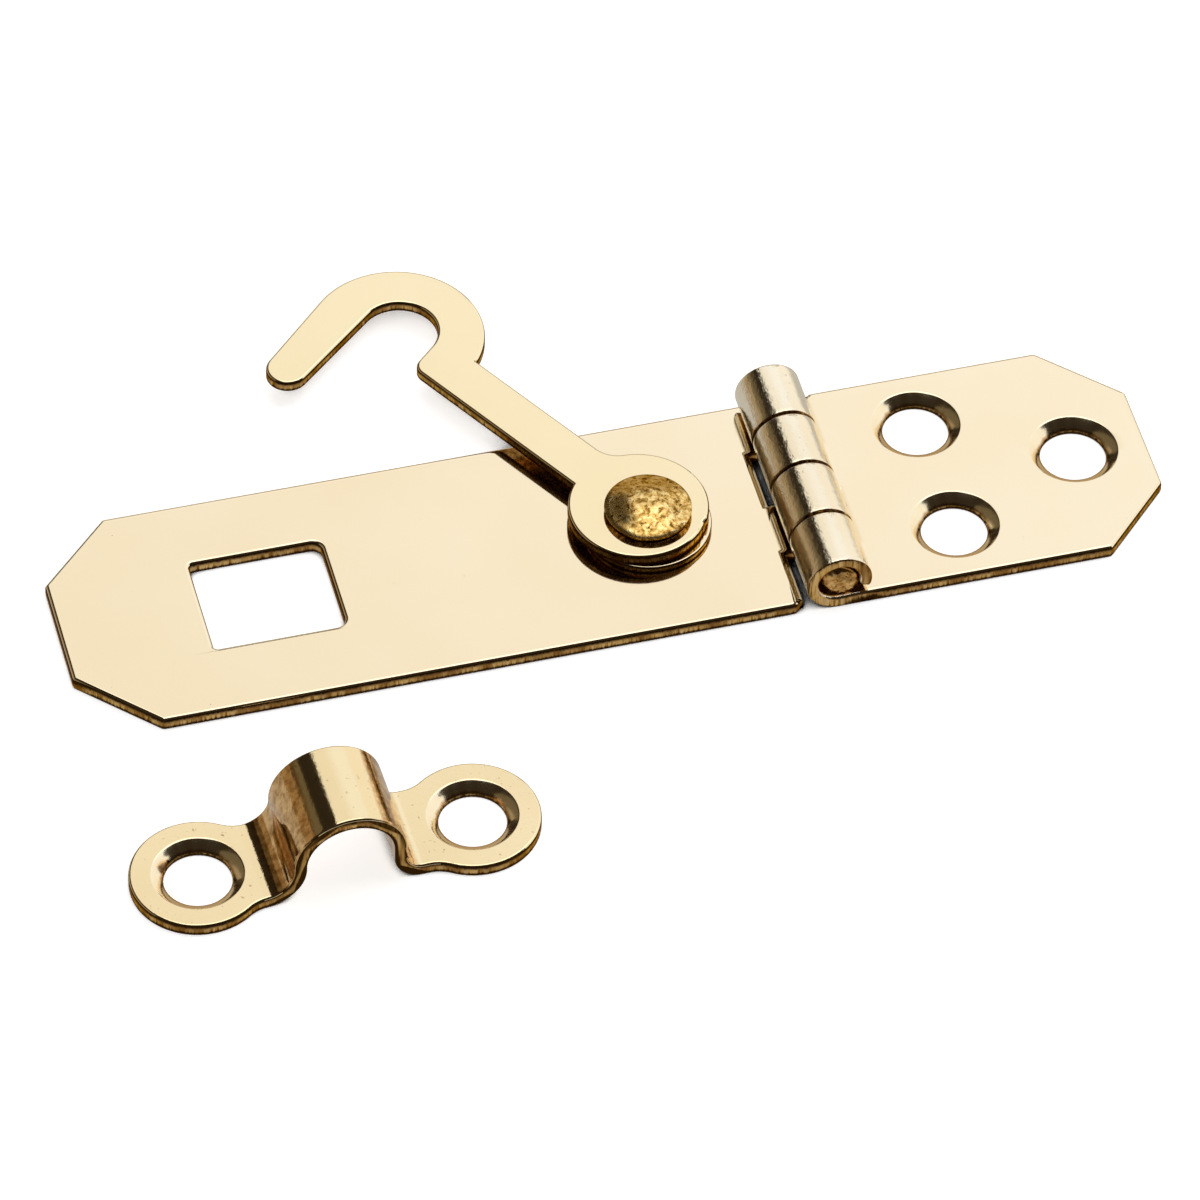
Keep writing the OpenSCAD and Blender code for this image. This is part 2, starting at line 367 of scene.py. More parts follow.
def round_plate(piece):
    """Rolls over the arrises of the upper side, which is the inner side of the knuckles."""
    def beside_hinge(at):
        return abs(at.x - HINGE_X) < NOTCH + 0.02

    def in_bore(at):
        return any(hypot(at.x - x, at.y - y) < SINK_R + 0.05 for x, y in LEAF_HOLES + (PIVOT,))

    def upper(at):
        flat = abs(at.z - PLATE_T) < 0.005 or (
            beside_hinge(at) and ROLLED_T - 0.01 < at.z < PLATE_T)
        curled = abs(from_hinge(at) - BARREL_R + ROLLED_T) < 0.02
        return (flat or (abs(at.x - HINGE_X) < BARREL_R and at.z > ROLLED_T - 0.01
                         and curled)) and not in_bore(at)

    def lower(at):
        curled = abs(from_hinge(at) - BARREL_R) < 0.02
        flat = at.z < 0.005 and abs(at.x - HINGE_X) > NOTCH + 0.02
        tab = at.z < 0.005 and abs(at.x - HINGE_X) < NOTCH - NOTCH_LIP - 0.2
        return (curled or flat or tab) and not in_bore(at)

    edit(piece)
    pick_edges(lambda middle, one, other: not beside_hinge(middle)
               and max(abs(one.z), abs(other.z)) < 0.1 and not in_bore(middle))
    round_arrises(UPRIGHT_CORNER, 3)
    pick_edges(lambda middle, one, other: upper(middle))
    round_arrises(ROLL_OVER, 5)
    pick_edges(lambda middle, one, other: lower(middle))
    round_arrises(BURR_SIDE, 3)
    pick_edges(lambda middle, one, other: in_bore(middle), 25)
    round_arrises(HOLE_RIM, 2)
    bpy.ops.mesh.select_all(action="SELECT")
    bpy.ops.mesh.remove_doubles(threshold=0.0005 * MM)
    leave_edit()


def slot_cutter():
    near, far, half = SLOT
    rf, rh = SLOT_R_FREE, SLOT_R_HINGE
    pen = Pen("slot_cutter", (near + rf, -half), below_floor)
    pen.line(far - rh, -half)
    pen.arc((far - rh, -half + rh), 90, 9)
    pen.line(far, half - rh)
    pen.arc((far - rh, half - rh), 90, 9)
    pen.line(near + rf, half)
    pen.arc((near + rf, half - rf), 90, 15)
    pen.line(near, -half + rf)
    pen.arc((near + rf, -half + rf), 90, 15)
    pen.fill()
    thicken(0, 0, 3)
    leave_edit()
    return pen.piece


def make_strap():
    gap = KNUCKLE_GAP / 2
    piece, notches = plate_with_knuckles("strap_sheet", -1, STRAP_L, (
        (-KNUCKLE_W + gap, -gap), (KNUCKLE_W + gap, WIDTH / 2)),
        ((-53.5, -41, -24, -17, -11), (-5.5, 5.5)))
    cut(piece, slot_cutter())
    cut(piece, round_cutter(*PIVOT, STRAP_HOLE_R, -1, 2))
    # The rivet's tail is spread into a countersink from below
    cut(piece, round_cutter(*PIVOT, STRAP_HOLE_R, -TAIL_H, TAIL_H, 2.72))
    tear_notch(piece, -1, notches)
    round_plate(piece)
    return piece


def make_leaf():
    gap = KNUCKLE_GAP / 2
    piece, notches = plate_with_knuckles("leaf_sheet", 1, LEAF_L, (
        (-WIDTH / 2, -KNUCKLE_W - gap), (gap, KNUCKLE_W - gap)),
        ((-8, -5, -3.6, 3.6, 6.4, 13.5), (-8.4, -0.9, 0.9, 8.4)))
    for x, y in LEAF_HOLES:
        cut(piece, countersink_cutter(x, y, PLATE_T))
    tear_notch(piece, 1, notches)
    round_plate(piece)
    return piece


def edge_normal(run, r_sum):
    """Normal, in degrees, of a straight edge that is tangent to two rounds."""
    return degrees(atan2(run.y, run.x) - acos(r_sum / run.length))


def make_hook():
    turn = Matrix.Rotation(radians(HOOK_TURN), 3, "Z")
    pivot = Vector((*PIVOT, HOOK_Z))

    def hook_spot(u, v):
        return (turn @ Vector((u, v, 0)) + pivot) * MM

    inner = edge_normal(TIP - BIGHT, BIGHT_R + TIP_R)
    outer = edge_normal(TIP - BOW, BOW_R - TIP_R)
    step = BIGHT - SHOULDER
    cheek = degrees(atan2(step.y, step.x) + acos((BIGHT_R + SHOULDER_R) / step.length))
    corner_x = EYE[0] + sqrt(EYE_R ** 2 - ARM_HALF ** 2)
    corner = degrees(atan2(ARM_HALF, corner_x - EYE[0]))
    fillet_x = EYE[0] + sqrt((EYE_R + EYE_FILLET) ** 2 - (ARM_HALF + EYE_FILLET) ** 2)
    lean = degrees(atan2(ARM_HALF + EYE_FILLET, fillet_x - EYE[0]))
    neck_x = BOW.x - sqrt(BOW_R ** 2 - (ARM_HALF + BOW.y) ** 2)
    neck = degrees(atan2(-ARM_HALF - BOW.y, neck_x - BOW.x)) % 360

    def along(centre, r, angle):
        return centre + r * Vector((cos(radians(angle)), sin(radians(angle))))

    pen = Pen("hook_sheet", (corner_x, ARM_HALF), hook_spot)
    pen.arc(EYE, 360 - lean - corner, 3)
    pen.arc((fillet_x, -ARM_HALF - EYE_FILLET), lean - 90, 6)
    pen.line(neck_x, -ARM_HALF)
    pen.arc(BOW, outer + 360 - neck, 3)
    pen.line(*along(TIP, TIP_R, outer))
    pen.arc(TIP, inner + 180 - outer, 6)
    pen.line(*along(BIGHT, BIGHT_R, inner))
    pen.arc(BIGHT, cheek - 180 - inner, 4)
    pen.line(*along(SHOULDER, SHOULDER_R, cheek))
    pen.arc(SHOULDER, 90 - cheek, 8)
    pen.line(corner_x, ARM_HALF)
    pen.fill()
    thicken(0, 0, HOOK_T)
    leave_edit()
    piece = pen.piece
    cut(piece, round_cutter(*PIVOT, HOOK_HOLE_R, HOOK_Z - 1, HOOK_Z + 2))
    edit(piece)
    pick_edges(lambda middle, one, other: abs(middle.z - HOOK_Z - HOOK_T) < 0.005
               and hypot(middle.x - PIVOT[0], middle.y - PIVOT[1]) > HOOK_HOLE_R + 0.1)
    round_arrises(HOOK_ROLL_OVER, 5)
    pick_edges(lambda middle, one, other: abs(middle.z - HOOK_Z) < 0.005)
    round_arrises(LOWER_ARRIS, 2)
    # A small knock beside the eye's front left its arris dented
    pick_vertices(lambda at: at.z > HOOK_Z + 0.5 and hypot(at.x - KNOCK[0], at.y - KNOCK[1]) < 0.5)
    bpy.ops.transform.translate(value=(-0.08 * MM, 0.06 * MM, -0.14 * MM))
    bpy.ops.transform.vertex_random(offset=0.09 * MM, seed=3)
    leave_edit()
    return piece


def make_staple():
    # Side view of the bent strip, drawn once round, then cut to the plan of the blank. The
    # arch stands a little nearer to one foot, where the strip is bent more tightly.
    leg_r = ARCH_R + STAPLE_T
    near = (ARCH_X + leg_r + BEND_R_NEAR, STAPLE_T + BEND_R_NEAR)
    far = (ARCH_X - leg_r - BEND_R_FAR, STAPLE_T + BEND_R_FAR)
    end_x = FOOT_X + FOOT_R
    deep = 2 * FOOT_R
    pen = Pen("staple_strip", (end_x, 0),
              lambda u, v: (u * MM, -deep / 2 * MM, v * MM), (0, -1, 0))
    pen.line(end_x, STAPLE_T)
    pen.line(near[0], STAPLE_T)
    pen.arc(near, -90, 5)
    pen.line(ARCH_X + leg_r, ARCH_Z)
    pen.arc((ARCH_X, ARCH_Z), 180, 3)
    pen.line(ARCH_X - leg_r, far[1])
    pen.arc(far, -90, 5)
    pen.line(-end_x, STAPLE_T)
    pen.line(-end_x, 0)
    pen.line(far[0], 0)
    pen.arc(far, 90, 5)
    pen.line(ARCH_X - ARCH_R, ARCH_Z)
    pen.arc((ARCH_X, ARCH_Z), -180, 3)
    pen.line(ARCH_X + ARCH_R, near[1])
    pen.arc(near, 90, 5)
    pen.line(end_x, 0)
    pen.fill()
    thicken(0, deep, 0)
    leave_edit()
    strip = pen.piece

    run = sqrt((FOOT_R + NECK_FILLET) ** 2 - (STRIP_HALF + NECK_FILLET) ** 2)
    lean = degrees(atan2(STRIP_HALF + NECK_FILLET, run))
    blank = Pen("blank_plan", (FOOT_X - run, -STRIP_HALF), below_floor)
    blank.arc((FOOT_X - run, -STRIP_HALF - NECK_FILLET), lean - 90, 6)
    blank.arc((FOOT_X, 0), 360 - 2 * lean, 3)
    blank.arc((FOOT_X - run, STRIP_HALF + NECK_FILLET), lean - 90, 6)
    blank.line(run - FOOT_X, STRIP_HALF)
    blank.arc((run - FOOT_X, STRIP_HALF + NECK_FILLET), lean - 90, 6)
    blank.arc((-FOOT_X, 0), 360 - 2 * lean, 3)
    blank.arc((run - FOOT_X, -STRIP_HALF - NECK_FILLET), lean - 90, 6)
    blank.line(FOOT_X - run, -STRIP_HALF)
    blank.fill()
    thicken(0, 0, 10)
    leave_edit()
    cut(strip, blank.piece, "INTERSECT")
    for x in (-FOOT_X, FOOT_X):
        cut(strip, countersink_cutter(x, 0, STAPLE_T))

    def outer_face(at, normal):
        return normal.z > 0.1 or (abs(normal.z) <= 0.1 and at.x * normal.x > 0.1 * abs(at.x))

    def in_hole(at):
        return any(hypot(at.x - x, at.y) < SINK_R + 0.05 for x in (-FOOT_X, FOOT_X))

    edit(strip)
    # Each arris lies between the cut edge, which stands upright, and a face of the strip
    pick_edges(lambda middle, one, other: not in_hole(middle) and middle.z > 0.05
               and outer_face(middle, one if abs(one.z) > abs(other.z) or abs(other.y) > 0.9
                              else other))
    round_arrises(STAPLE_ROLL_OVER, 5)
    pick_edges(lambda middle, one, other: not in_hole(middle))
    round_arrises(LOWER_ARRIS, 2)
    pick_edges(lambda middle, one, other: in_hole(middle), 25)
    round_arrises(HOLE_RIM, 2)
    bpy.ops.mesh.select_all(action="SELECT")
    # The turn operator works the other way round without a window
    bpy.ops.transform.rotate(value=-radians(STAPLE_TURN), orient_axis="Z",
                             center_override=(0, 0, 0))
    bpy.ops.transform.translate(value=(STAPLE[0] * MM, STAPLE[1] * MM, 0))
    leave_edit()
    return strip


def turned(name, profile, steps=ROUND_SIDES):
    """A closed profile of (radius, height) points or arcs, spun once round the rivet's axis."""
    x, y = PIVOT
    pen = Pen(name, profile[0], lambda u, v: ((u + x) * MM, y * MM, v * MM), (0, -1, 0))
    for move in profile[1:]:
        if len(move) == 2:
            pen.line(*move)
        else:
            pen.arc(*move)
    bpy.ops.mesh.select_all(action="SELECT")
    bpy.ops.mesh.spin(steps=steps, angle=radians(360), center=(x * MM, y * MM, 0),
                      axis=(0, 0, 1))
    bpy.ops.mesh.select_all(action="SELECT")
    bpy.ops.mesh.remove_doubles(threshold=0.002 * MM)
    bpy.ops.mesh.normals_make_consistent(inside=False)
    leave_edit()
    return pen.piece


def make_spacer():
    low, high = SPACER_Z
    r = 0.12
    return turned("spacer_washer", [
        (HOOK_HOLE_R, low), (SPACER_R - r, low), ((SPACER_R - r, low + r), 90, 18),
        (SPACER_R, high - r), ((SPACER_R - r, high - r), 90, 18), (HOOK_HOLE_R, high),
        (HOOK_HOLE_R, low)])


def make_rivet():
    # The head is upset over a low side, and the setting tool left its middle nearly flat
    rim = HEAD_Z + HEAD_SIDE
    return turned("rivet_turned", [
        (0, 0), (1.9, 0), (2.05, 0.05), (SHANK_R, TAIL_H), (SHANK_R, HEAD_Z), (2.8, HEAD_Z),
        ((2.8, HEAD_Z + 0.08), 85, 17), (HEAD_R, rim - 0.05), ((2.94, rim - 0.02), 66, 11),
        (2.65, rim + 0.13), (2.2, rim + 0.32), (1.8, rim + 0.485), (1.45, rim + 0.62),
        (1.2, rim + 0.70), (0.9, rim + 0.765), (0.5, rim + 0.80), (0, rim + 0.81)], 120)


def make_pin():
    bpy.ops.object.select_all(action="DESELECT")
    bpy.ops.mesh.primitive_cylinder_add(
        vertices=ROUND_SIDES // 2, radius=PIN_R * MM, depth=PIN_L * MM,
        rotation=(radians(90), 0, 0), location=(HINGE_X * MM, 0, BARREL_R * MM))
    pin = bpy.context.object
    pin.name = "hinge_wire"
    bpy.ops.object.transform_apply(location=True, rotation=True, scale=True)
    bpy.ops.object.mode_set(mode="EDIT")
    # The wire was cropped: each end is torn, with a ragged rim, and sits off the middle
    for end in (-1, 1):
        pick_faces(lambda centre, normal: normal.y * end > 0.9)
        bpy.ops.mesh.inset(thickness=0.06 * MM, depth=0.1 * MM)
        bpy.ops.mesh.inset(thickness=0.1 * MM, depth=0.38 * MM)
        bpy.ops.transform.translate(value=(PIN_SHIFT[0] * MM, 0, PIN_SHIFT[1] * MM))
        for rise, shrink in ((0.04, 0.8), (-0.05, 0.6)):
            bpy.ops.mesh.extrude_region_move(
                TRANSFORM_OT_translate={"value": (0, end * rise * MM, 0)})
            bpy.ops.transform.resize(value=(shrink, 1, shrink), center_override=(
                (HINGE_X + PIN_SHIFT[0]) * MM, 0, (BARREL_R + PIN_SHIFT[1]) * MM))
        pick_vertices(lambda at: at.y * end > 9.2)
        bpy.ops.transform.vertex_random(offset=0.09 * MM, seed=11 + end)
    leave_edit()
    return pin


class Finish:
    """A metal whose colour, roughness and bump are built up node by node."""

    def __init__(self, name, glance=(1, 1, 1)):
        """Glance is the tint of the metal where it is seen at a flat angle."""
        self.material = bpy.data.materials.new(name)
        self.material.use_nodes = True
        self.tree = self.material.node_tree
        self.shader = self.tree.nodes["Principled BSDF"]
        self.shader.inputs["Metallic"].default_value = 1
        self.shader.inputs["Specular Tint"].default_value = (*glance, 1)
        self.coords = self.node("ShaderNodeTexCoord").outputs["Object"]
        self.relief = None

    def node(self, kind, **inputs):
        made = self.tree.nodes.new(kind)
        for key, value in inputs.items():
            self.put(made.inputs[key.replace("_", " ")], value)
        return made

    def put(self, socket, value):
        if isinstance(value, bpy.types.NodeSocket):
            self.tree.links.new(value, socket)
        else:
            socket.default_value = value

    def stretched(self, x, y, z, turn=0):
        """The piece's own coordinates, squeezed so that a pattern runs one way."""
        made = self.node("ShaderNodeMapping", Vector=self.coords, Scale=(x, y, z),
                         Rotation=(0, 0, radians(turn)))
        return made.outputs["Vector"]

    def noise(self, scale, detail=2, rough=0.5, where=None, warp=0):
        made = self.node("ShaderNodeTexNoise", Vector=where or self.coords, Scale=scale,
                         Detail=detail, Roughness=rough, Distortion=warp)
        return made.outputs["Fac"]

    def ramp(self, level, *stops):
        made = self.node("ShaderNodeValToRGB", Fac=level)
        slots = made.color_ramp.elements
        while len(slots) < len(stops):
            slots.new(0.5)
        for slot, (place, colour) in zip(slots, stops):
            slot.position = place
            slot.color = (*colour, 1)
        return made.outputs["Color"]

    def range(self, level, low, high, to_low, to_high):
        made = self.node("ShaderNodeMapRange", Value=level, From_Min=low, From_Max=high,
                         To_Min=to_low, To_Max=to_high)
        return made.outputs["Result"]

    def mix(self, level, one, other, blend="MIX"):
        made = self.tree.nodes.new("ShaderNodeMix")
        made.data_type = "RGBA"
        made.blend_type = blend
        self.put(made.inputs[0], level)
        self.put(made.inputs[6], one)
        self.put(made.inputs[7], other)
        return made.outputs[2]

    def colour(self, source):
        self.put(self.shader.inputs["Base Color"], source)

    def rough(self, source):
        self.put(self.shader.inputs["Roughness"], source)

    def math(self, operation, value, other=0.0):
        made = self.tree.nodes.new("ShaderNodeMath")
        made.operation = operation
        self.put(made.inputs[0], value)
        self.put(made.inputs[1], other)
        return made.outputs[0]

    def times(self, value, factor):
        return self.math("MULTIPLY", value, factor)

    def sum(self, value, other):
        return self.math("ADD", value, other)

    def raise_by(self, height, depth):
        """Adds one layer of relief, so many millimetres deep."""
        made = self.node("ShaderNodeBump", Height=height, Distance=depth * MM, Strength=1)
        if self.relief:
            self.tree.links.new(self.relief, made.inputs["Normal"])
        self.relief = made.outputs["Normal"]
        self.tree.links.new(self.relief, self.shader.inputs["Normal"])


BRIGHT = (0.948, 0.808, 0.56)
CREAM = (0.932, 0.775, 0.51)
TAN = (0.93, 0.68, 0.36)
GOLD = (0.92, 0.56, 0.18)
BROWN = (0.30, 0.135, 0.032)
# Near black: dirt in pits, and painted shade on cut edges and inside the knuckles
DIRT_AND_SHADE = (0.045, 0.022, 0.007)


def polished_brass(name, peel, pitting, tones=(CREAM, BRIGHT), wave=0.010, legs_stain_and_shade=False):
    """Tumbled and lacquered sheet: clouds, faint rolling lines, small pits and a soft peel.
    The staple's legs and bends are darkened besides with a mottled brown, partly a stain where the
    polishing did not reach and partly a painted dark reflection."""
    metal = Finish(name)
    cloud = metal.noise(70, 3, 0.55)
    tone = metal.ramp(cloud, (0.3, tones[0]), (0.7, tones[1]))
    pits = metal.range(metal.noise(2300, 2, 0.6), 0.77 - 0.13 * pitting, 0.83, 0, 1)
    tone = metal.mix(pits, tone, (*BROWN, 1))
    # Painted dark reflection, with a stain: mottled brown on the staple's legs and bends above its
    # feet
    if legs_stain_and_shade:
        mottle = metal.noise(1700, 4, 0.65, warp=0.3)
        place = metal.node("ShaderNodeSeparateXYZ", Vector=metal.coords)
        side = metal.sum(place.outputs["X"], -(STAPLE[0] + ARCH_X) * MM)
        beside = metal.sum(metal.times(metal.math("ABSOLUTE", side), 1 / MM),
                           metal.range(mottle, 0.3, 0.7, -0.12, 0.12))
        above = metal.range(place.outputs["Z"], 0.93 * MM, 1.12 * MM, 0, 1)
        legs = metal.times(above, metal.range(beside, 2.15, 2.35, 0, 1))
        brown = metal.ramp(mottle, (0.36, (0.42, 0.22, 0.07)), (0.62, (0.86, 0.57, 0.26)))
        tone = metal.mix(legs, tone, brown)
        metal.raise_by(mottle, 0.006)
    metal.colour(tone)
    rolled = metal.noise(1, 3, 0.6, metal.stretched(90, 5200, 5200))
    metal.rough(metal.range(metal.noise(160, 3), 0.3, 0.7, 0.05 + 0.015 * peel, 0.10 + 0.03 * peel))
    metal.raise_by(metal.noise(130, 1), wave)
    metal.raise_by(rolled, 0.00012)
    metal.raise_by(metal.noise(2600, 2, 0.5), 0.0003 + 0.012 * peel)
    if peel:
        metal.raise_by(metal.noise(7000, 2, 0.6), 0.008 * peel)
    return metal.material


def sheared_edge(name, glance):
    """Cut edge of the sheet: gold, with upright brown drag marks between two dark lines of painted
    shade, a painted contact shadow along the foot and a painted dark reflection just under the
    rolled arris.
    The UV map sheet_side holds the height across the sheet, from 0 below to 1 above."""
    metal = Finish(name, glance)
    drag = metal.noise(1, 4, 0.65, metal.stretched(4200, 4200, 420))
    wide = metal.noise(1, 2, 0.5, metal.stretched(900, 900, 120))
    side_map = metal.tree.nodes.new("ShaderNodeUVMap")
    side_map.uv_map = "sheet_side"
    height = metal.node("ShaderNodeSeparateXYZ", Vector=side_map.outputs["UV"]).outputs["Y"]
    ragged = metal.sum(metal.range(drag, 0.3, 0.7, -0.09, 0.09), height)
    gold = metal.ramp(drag, (0.36, BROWN), (0.52, GOLD), (0.68, TAN))
    gold = metal.mix(metal.range(wide, 0.40, 0.62, 0, 0.85), gold, (*BROWN, 1))
    # Painted shade: near black at the foot of the edge and just under its rolled arris
    lines = metal.ramp(ragged, (0.22, (1, 1, 1)), (0.36, (0.1, 0.1, 0.1)),
                       (0.60, (0.15, 0.15, 0.15)), (0.78, (1, 1, 1)))
    metal.colour(metal.mix(lines, gold, (*DIRT_AND_SHADE, 1)))
    metal.rough(metal.range(drag, 0.3, 0.7, 0.42, 0.20))
    metal.raise_by(drag, 0.012)
    metal.raise_by(metal.noise(4200, 2), 0.004)
    return metal.material


def turned_hole():
    """Countersinks and punched holes: streaks that run down the wall, from the piece's UV map."""
    metal = Finish("countersunk_brass", (0.78, 0.52, 0.26))
    round_map = metal.tree.nodes.new("ShaderNodeUVMap")
    round_map.uv_map = "round_hole"
    streak = metal.noise(5.5, 3, 0.6, round_map.outputs["UV"])
    fine = metal.noise(60, 2, 0.6, round_map.outputs["UV"])
    tone = metal.mix(metal.range(fine, 0.35, 0.7, 0, 0.55),
                     metal.ramp(streak, (0.3, BRIGHT), (0.6, (0.97, 0.85, 0.61))), (*CREAM, 1))
    # The colour turns dark brown in the corner between the cone and the straight part of the hole
    place = metal.node("ShaderNodeSeparateXYZ", Vector=metal.coords)
    corner = metal.sum(metal.times(place.outputs["Z"], 1 / MM),
                       metal.range(streak, 0.3, 0.7, -0.04, 0.04))
    metal.colour(metal.mix(metal.range(corner, LAND + 0.07, LAND + 0.19, 0.9, 0), tone,
                           (0.42, 0.23, 0.085, 1)))
    metal.rough(metal.range(streak, 0.3, 0.7, 0.10, 0.2))
    metal.raise_by(streak, 0.004)
    metal.raise_by(metal.noise(1400, 2), 0.006)
    return metal.material


def aged_brass(name, tones, dark, relief):
    """Unpolished brass: mottled patina over gold, hammered and pitted, with faint rings."""
    metal = Finish(name, (0.8, 0.55, 0.28))
    mottle = metal.noise(2300, 5, 0.65, warp=0.4)
    blot = metal.noise(620, 3, 0.6)
    gold = metal.ramp(mottle, (0.36, tones[0]), (0.48, tones[1]), (0.62, tones[2]))
    patina = metal.mix(metal.range(blot, 0.52 - dark, 0.70, 0, 0.75), gold, (0.10, 0.06, 0.018, 1))
    pits = metal.range(metal.noise(3600, 2, 0.6), 0.62, 0.70, 0, 1)
    metal.colour(metal.mix(pits, patina, (*DIRT_AND_SHADE, 1)))
    metal.rough(metal.range(mottle, 0.3, 0.7, 0.34, 0.18))
    from_axis = metal.node("ShaderNodeMapping", Vector=metal.coords,
                           Location=(-PIVOT[0] * MM, -PIVOT[1] * MM, 0), Scale=(1, 1, 0))
    spread = metal.node("ShaderNodeVectorMath", Vector=from_axis.outputs["Vector"])
    spread.operation = "LENGTH"
    metal.raise_by(metal.noise(1, 2, 0.5, metal.node(
        "ShaderNodeCombineXYZ", X=metal.times(spread.outputs["Value"], 5200)).outputs[0]), 0.005)
    metal.raise_by(blot, 0.014 * relief)
    metal.raise_by(mottle, 0.012 * relief)
    return metal.material


def dull_bore():
    """Inside of the knuckles, where the polishing never reached, and darkened towards black besides
    as painted shade in the bore.
    """
    metal = Finish("dull_bore", (0.7, 0.45, 0.2))
    stain = metal.noise(1500, 4, 0.6)
    metal.colour(metal.ramp(stain, (0.40, DIRT_AND_SHADE), (0.60, BROWN), (0.80, GOLD)))
    metal.rough(metal.range(stain, 0.3, 0.7, 0.5, 0.3))
    metal.raise_by(stain, 0.02)
    return metal.material


polished = polished_brass("polished_brass", 0, 0)
hook_face = polished_brass("hook_brass", 0, 0, ((0.935, 0.765, 0.46), (0.955, 0.80, 0.50)))
rolled = polished_brass("rolled_brass", 2, 0.5, ((0.90, 0.77, 0.54), (0.96, 0.86, 0.66)))
pressed = polished_brass("pressed_brass", 0.5, 0.9, ((0.88, 0.71, 0.41), (0.95, 0.78, 0.48)),
                         legs_stain_and_shade=True)
sheared = sheared_edge("sheared_edge", (0.7, 0.45, 0.2))
torn = sheared_edge("torn_notch", (0.16, 0.08, 0.03))
sunk = turned_hole()
bore = dull_bore()
aged = aged_brass("rivet_brass", ((0.17, 0.085, 0.018), (0.70, 0.42, 0.11), (0.99, 0.76, 0.34)),
                  -0.05, 1)
# The rivet's side gets darker tones as painted shade, in place of the bright hook top it would
# mirror
rivet_side_shade = aged_brass("rivet_side", ((0.05, 0.025, 0.008), (0.16, 0.08, 0.02), (0.75, 0.42, 0.12)),
                   0.0, 1)
cropped = aged_brass("cropped_wire", ((0.30, 0.14, 0.03), (0.66, 0.36, 0.11), (0.92, 0.58, 0.22)),
                     0.0, 1.4)
underside = aged_brass("dull_underside",
                       ((0.16, 0.075, 0.02), (0.42, 0.23, 0.08), (0.70, 0.45, 0.18)), 0.0, 0.3)


def dress(piece, node, body, finishes, choose, height=None, holes=()):
    """Puts the finishes on by place, shades the piece, hides the part it stands for and parents it
    to its body.
    """
    alone(piece)
    mesh = piece.data
    mesh.materials.clear()
    for finish in finishes:
        mesh.materials.append(finish)
    if height:
        mesh.uv_layers.new(name="sheet_side")
    if holes:
        mesh.uv_layers.new(name="round_hole")
    for face in mesh.polygons:
        at = face.center / MM
        face.material_index = choose(at, face.normal)
        for corner in face.loop_indices if height else ():
            spot = mesh.vertices[mesh.loops[corner].vertex_index].co / MM
            mesh.uv_layers["sheet_side"].data[corner].uv = (0, height(spot))
        for x, y in holes:
            if hypot(at.x - x, at.y - y) < SINK_R + 0.2:
                for corner in face.loop_indices:
                    spoke = mesh.vertices[mesh.loops[corner].vertex_index].co.xy / MM
                    spoke = (spoke - Vector((x, y))).normalized()
                    mesh.uv_layers["round_hole"].data[corner].uv = spoke
    bpy.ops.object.shade_smooth()
    soften = piece.modifiers.new("even_normals", "WEIGHTED_NORMAL")
    soften.weight = 50
    bpy.ops.object.modifier_apply(modifier=soften.name)
    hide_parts(node)
    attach(piece, body)


def hole_wall(at, holes, sheet_t):
    return any(hypot(at.x - x, at.y - y) < SINK_R - 0.02 for x, y in holes) and (
        0.01 < at.z < sheet_t - 0.003)


def plate_finish(at, normal):
    """0 polished sheet, 1 sheared edge, 2 hole wall, 3 rolled knuckle, 4 inside of a knuckle,
    5 torn wall of a notch."""
    out = from_hinge(at)
    if abs(at.x - HINGE_X) < BARREL_R + 0.1 and out < BARREL_R + 0.05:
        if abs(normal.y) > (0.45 if out > BARREL_R - 0.3 else 0.8):
            return 1
        return 3 if out > BARREL_R - 0.2 or abs(normal.y) > 0.12 else 4
    if hole_wall(at, LEAF_HOLES, LAND + HOLE_RIM):
        return 1
    if hole_wall(at, LEAF_HOLES, PLATE_T):
        return 2
    if abs(at.x - HINGE_X) < NOTCH and -0.95 < normal.z < 0.97 and at.z < TEAR[0][0]:
        return 5
    return 1 if -0.95 < normal.z < EDGE_TILT else 0


def plate_height(at):
    """Height across the plate's sheet, and across the rolled wall of a knuckle."""
    out = from_hinge(at)
    # On the knuckles' ends the outer side falls in the painted shade, which widens the dark lines
    # between the knuckles
    if abs(at.x - HINGE_X) < BARREL_R and out < BARREL_R + 0.02 and (at.z > 1 or out > 1.5):
        return 0.27 + 0.3 * (BARREL_R - out) / ROLLED_T
    # On the torn wall of a notch the heights are squeezed, so the painted shade of the foot covers
    # its lower part
    if abs(at.x - HINGE_X) < NOTCH - 0.02 and at.z < TEAR[0][0] + 0.02:
        return 0.45 * at.z / PLATE_T
    # The strap's end and the slot's wall beside the hook carry painted shade: they are dark but for
    # a line below
    dark = at.x < HINGE_X - STRAP_L + 0.35 or (abs(at.x - SLOT[1]) < 0.4
                                                and abs(at.y) < SLOT[2] - 0.5)
    return 0.5 + 0.5 * at.z / PLATE_T if dark else at.z / PLATE_T


def sheet_finish(at, normal):
    """0 polished sheet, 1 sheared edge, 2 dull underside."""
    return 2 if normal.z < -0.95 else int(normal.z < EDGE_TILT)


def staple_holes():
    turn = Matrix.Rotation(radians(STAPLE_TURN), 2)
    return [tuple(turn @ Vector((x, 0)) + Vector(STAPLE)) for x in (-FOOT_X, FOOT_X)]


def in_staple(at):
    return Matrix.Rotation(-radians(STAPLE_TURN), 2) @ (at.xy - Vector(STAPLE))


